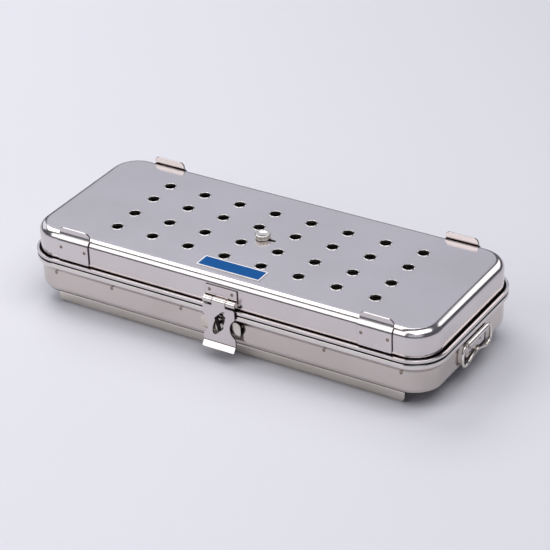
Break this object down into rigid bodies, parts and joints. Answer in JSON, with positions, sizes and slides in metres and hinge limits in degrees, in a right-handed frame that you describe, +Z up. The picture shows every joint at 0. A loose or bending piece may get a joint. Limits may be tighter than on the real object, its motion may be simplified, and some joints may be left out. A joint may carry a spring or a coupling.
{
  "type": "sterilization case",
  "caption": "Low rectangular case of stainless sheet on foot rails, with a hinged vented lid and sliding shutter, stacking brackets, a hasp with a turn button and wire bail handles.",
  "frame": {"origin": "middle of the case's outline on the table it stands on, level with the undersides of the foot rails", "axes": "+X along the case towards the right-hand bail, -Y towards the hasp, +Z up out of the lid"},
  "size_m": [0.3106, 0.1335, 0.0629],
  "materials": {
    "satin_steel": "satin stainless sheet",
    "top_steel": "smooth satin stainless sheet",
    "rim_steel": "polished folded stainless sheet",
    "bright_steel": "polished stainless steel",
    "dark_steel": "darkened stainless steel",
    "blue_enamel": "blue enamel, left bare"
  },
  "bodies": {
    "base": {"base_shell": "satin_steel", "inner_collar_front": "satin_steel", "inner_collar_rear": "satin_steel", "inner_collar_left": "satin_steel", "inner_collar_right": "satin_steel", "inner_collar_front_left": "satin_steel", "inner_collar_front_right": "satin_steel", "inner_collar_rear_left": "satin_steel", "inner_collar_rear_right": "satin_steel", "rim_band": "rim_steel", "foot_rail_front": "satin_steel", "foot_rail_rear": "satin_steel", "keeper_plate": "satin_steel", "hinge_base_leaf_left": "satin_steel", "hinge_base_leaf_right": "satin_steel", "hinge_pin_left": "bright_steel", "hinge_pin_right": "bright_steel", "handle_bracket_left": "satin_steel", "handle_bracket_right": "satin_steel"},
    "lid": {"lid_shell": "top_steel", "stack_bracket_front_left": "satin_steel", "stack_bracket_front_right": "satin_steel", "stack_bracket_rear_left": "satin_steel", "stack_bracket_rear_right": "satin_steel", "shutter_guide_front": "satin_steel", "shutter_guide_rear": "satin_steel", "name_plate": "blue_enamel", "hinge_lid_leaf_left": "satin_steel", "hinge_lid_leaf_right": "satin_steel", "latch_leaf": "satin_steel", "latch_pin": "bright_steel"},
    "shutter": {"shutter_plate": "bright_steel", "shutter_knob": "bright_steel", "knob_nut": "bright_steel"},
    "hasp": {"hasp": "satin_steel"},
    "turn_button": {"turn_button": "dark_steel", "button_washer": "bright_steel"},
    "bail_left": {"bail_left": "bright_steel"},
    "bail_right": {"bail_right": "bright_steel"}
  },
  "joints": [
    {"name": "lid_hinge", "type": "hinge", "parent": "base", "child": "lid", "pos_m": [0, 0.06475, 0.0366], "axis": [-1, 0, 0], "range_deg": [0, 180]},
    {"name": "hasp_hinge", "type": "hinge", "parent": "lid", "child": "hasp", "pos_m": [0.002, -0.062, 0.0436], "axis": [-1, 0, 0], "range_deg": [0, 150]},
    {"name": "turn_button_pivot", "type": "hinge", "parent": "base", "child": "turn_button", "pos_m": [0.002, -0.0645, 0.0288], "axis": [0, -1, 0], "range_deg": [-39, 51]},
    {"name": "shutter_slide", "type": "slide", "parent": "lid", "child": "shutter", "axis": [1, 0, 0], "range_m": [0, 0.0084]},
    {"name": "bail_left_hinge", "type": "hinge", "parent": "base", "child": "bail_left", "pos_m": [-0.1532, 0.0015, 0.0278], "axis": [0, 1, 0], "range_deg": [0, 130]},
    {"name": "bail_right_hinge", "type": "hinge", "parent": "base", "child": "bail_right", "pos_m": [0.1532, 0.0015, 0.0278], "axis": [0, -1, 0], "range_deg": [0, 130]}
  ]
}
